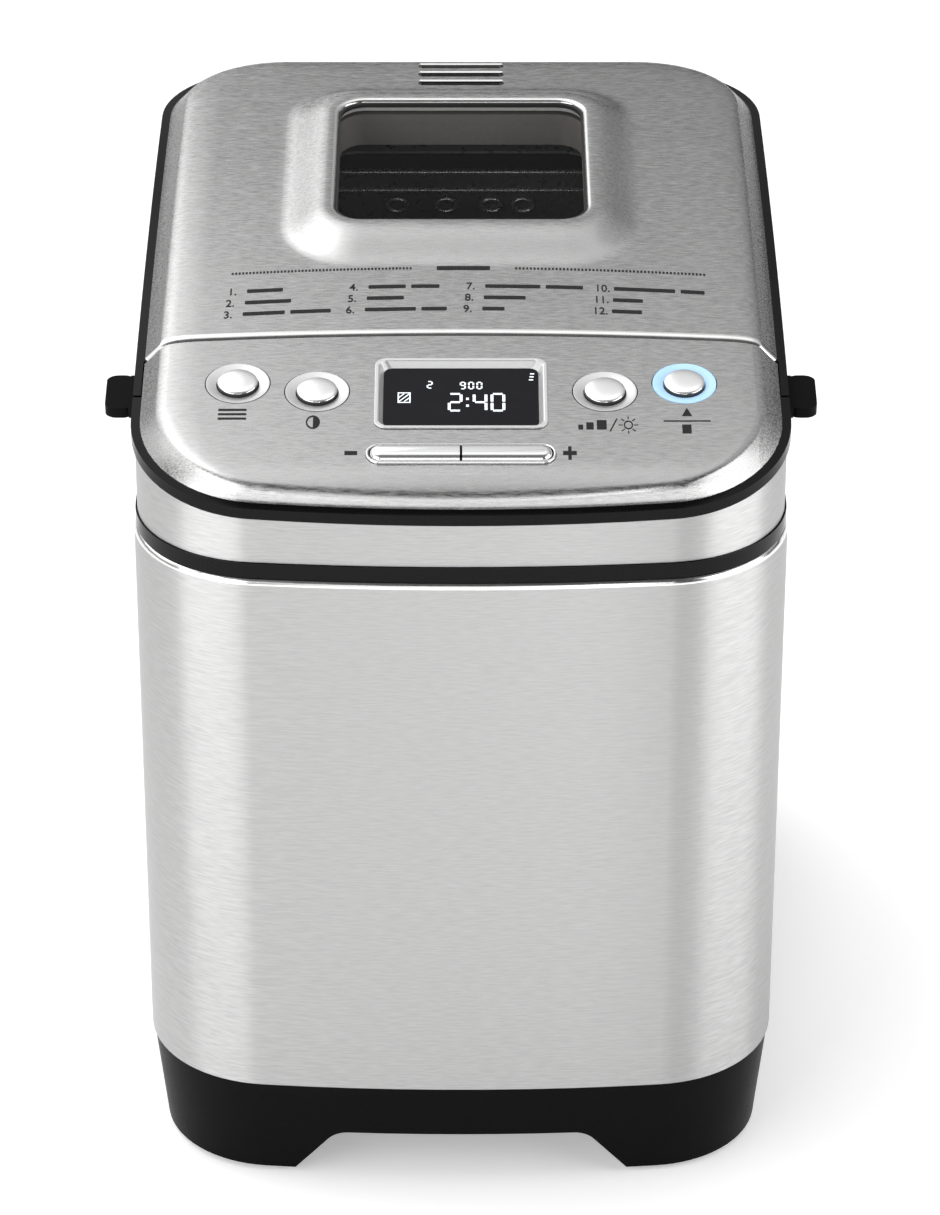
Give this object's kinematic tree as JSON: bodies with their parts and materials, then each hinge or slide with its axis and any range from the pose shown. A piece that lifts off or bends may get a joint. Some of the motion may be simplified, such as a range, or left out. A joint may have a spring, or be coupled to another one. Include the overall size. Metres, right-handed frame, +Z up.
{
  "type": "bread machine",
  "caption": "Upright bread machine: stainless wrap on a black base, crowned lid with a window, sloping button panel, and a belt-driven paddle in a twist-lock pan.",
  "frame": {"origin": "middle of the footprint on the floor, under the feet", "axes": "+Z up, -Y towards the front with the control panel, +X to the right seen from the front"},
  "size_m": [0.234, 0.288, 0.3065],
  "materials": {
    "stainless": "brushed",
    "black_moulding": "fine matt",
    "silver_plastic": "metallised satin",
    "light_guide": "clear pale blue",
    "dark_lens": "polished smoked",
    "window_glass": "polished clear",
    "rubber": "matt",
    "chamber_coat": "satin coat",
    "non_stick": "non-stick coat",
    "zinc_sheet": "zinc plated",
    "bright_steel": "bright",
    "element_sheath": "heat darkened",
    "die_cast": "as cast",
    "bearing_bronze": "sintered",
    "nylon": "moulded",
    "motor_paint": "satin",
    "capacitor_can": "moulded",
    "circuit_board": "solder mask"
  },
  "bodies": {
    "housing": {"base_screws": "bright_steel", "base_tray": "black_moulding", "body_wrap": "stainless", "button_rings": "silver_plastic", "chamber_liner": "chamber_coat", "chassis_plate": "zinc_sheet", "control_board": "circuit_board", "control_panel": "stainless", "cord_gland": "black_moulding", "display_bezel": "silver_plastic", "display_lens": "dark_lens", "drive_belt": "rubber", "element_clips": "zinc_sheet", "foot_pads": "rubber", "heating_element": "element_sheath", "hinge_pins": "bright_steel", "lcd_module": "circuit_board", "liner_spacers": "zinc_sheet", "motor_body": "motor_paint", "motor_capacitor": "capacitor_can", "pan_socket": "die_cast", "panel_carrier": "black_moulding", "pill_bezel": "silver_plastic", "power_board": "circuit_board", "rim_band": "stainless", "spindle_bearing": "bearing_bronze", "start_light_ring": "light_guide", "temperature_sensor": "element_sheath", "upper_frame": "black_moulding"},
    "lid": {"lid_cover": "stainless", "window_glass": "window_glass", "window_gasket": "rubber", "window_frame": "black_moulding", "lid_frame": "black_moulding", "vent_insert": "black_moulding", "lid_tabs": "black_moulding", "lid_liner": "chamber_coat", "lid_screws": "bright_steel"},
    "program_key": {"program_button": "silver_plastic"},
    "crust_key": {"crust_button": "silver_plastic"},
    "loaf_key": {"loaf_button": "silver_plastic"},
    "start_key": {"start_button": "silver_plastic"},
    "minus_key": {"minus_button": "silver_plastic"},
    "plus_key": {"plus_button": "silver_plastic"},
    "pan": {"bread_pan": "non_stick", "pan_collar": "die_cast", "pan_bush": "bearing_bronze", "shaft_seal": "rubber", "handle_ears": "zinc_sheet", "ear_rivets": "bright_steel"},
    "handle": {"pan_handle": "bright_steel"},
    "stirrer": {"paddle_shaft": "bright_steel", "drive_wing": "die_cast"},
    "paddle": {"kneading_paddle": "non_stick"},
    "drive_spindle": {"spindle": "bright_steel", "drive_dog": "die_cast", "large_pulley": "nylon"},
    "rotor": {"motor_shaft": "bright_steel", "motor_pulley": "die_cast", "motor_fan": "black_moulding"}
  },
  "joints": [
    {"name": "lid_hinge", "type": "hinge", "parent": "housing", "child": "lid", "pos_m": [0, 0.1408, 0.2876], "axis": [-1, 0, 0], "range_deg": [0, 95]},
    {"name": "program_press", "type": "slide", "parent": "housing", "child": "program_key", "axis": [0, 0.2061, -0.9785], "range_m": [0, 0.0008], "stiffness_N_per_m": 400, "springref_m": -0.0005},
    {"name": "crust_press", "type": "slide", "parent": "housing", "child": "crust_key", "axis": [0, 0.2061, -0.9785], "range_m": [0, 0.0008], "stiffness_N_per_m": 400, "springref_m": -0.0005},
    {"name": "loaf_press", "type": "slide", "parent": "housing", "child": "loaf_key", "axis": [0, 0.2061, -0.9785], "range_m": [0, 0.0008], "stiffness_N_per_m": 400, "springref_m": -0.0005},
    {"name": "start_press", "type": "slide", "parent": "housing", "child": "start_key", "axis": [0, 0.2061, -0.9785], "range_m": [0, 0.0008], "stiffness_N_per_m": 400, "springref_m": -0.0005},
    {"name": "minus_press", "type": "slide", "parent": "housing", "child": "minus_key", "axis": [0, 0.2061, -0.9785], "range_m": [0, 0.0008], "stiffness_N_per_m": 400, "springref_m": -0.0005},
    {"name": "plus_press", "type": "slide", "parent": "housing", "child": "plus_key", "axis": [0, 0.2061, -0.9785], "range_m": [0, 0.0008], "stiffness_N_per_m": 400, "springref_m": -0.0005},
    {"name": "pan_twist", "type": "hinge", "parent": "housing", "child": "pan", "pos_m": [0, 0.043, 0.07], "axis": [0, 0, 1], "range_deg": [0, 16]},
    {"name": "handle_swing", "type": "hinge", "parent": "pan", "child": "handle", "pos_m": [0, 0.043, 0.231], "axis": [1, 0, 0], "range_deg": [0, 45]},
    {"name": "spindle_turn", "type": "hinge", "parent": "housing", "child": "drive_spindle", "pos_m": [0, 0.043, 0.04], "axis": [0, 0, 1], "continuous": true},
    {"name": "stirrer_turn", "type": "hinge", "parent": "pan", "child": "stirrer", "pos_m": [0, 0.043, 0.09], "axis": [0, 0, 1], "continuous": true},
    {"name": "rotor_turn", "type": "hinge", "parent": "housing", "child": "rotor", "pos_m": [0, -0.096, 0.06], "axis": [0, 0, 1], "continuous": true},
    {"name": "paddle_lift", "type": "slide", "parent": "stirrer", "child": "paddle", "axis": [0, 0, 1], "range_m": [0, 0.035]}
  ],
  "couplings": [
    {"joint": "stirrer_turn", "follows": "spindle_turn", "ratio": 1},
    {"joint": "rotor_turn", "follows": "spindle_turn", "ratio": 4.3014}
  ]
}
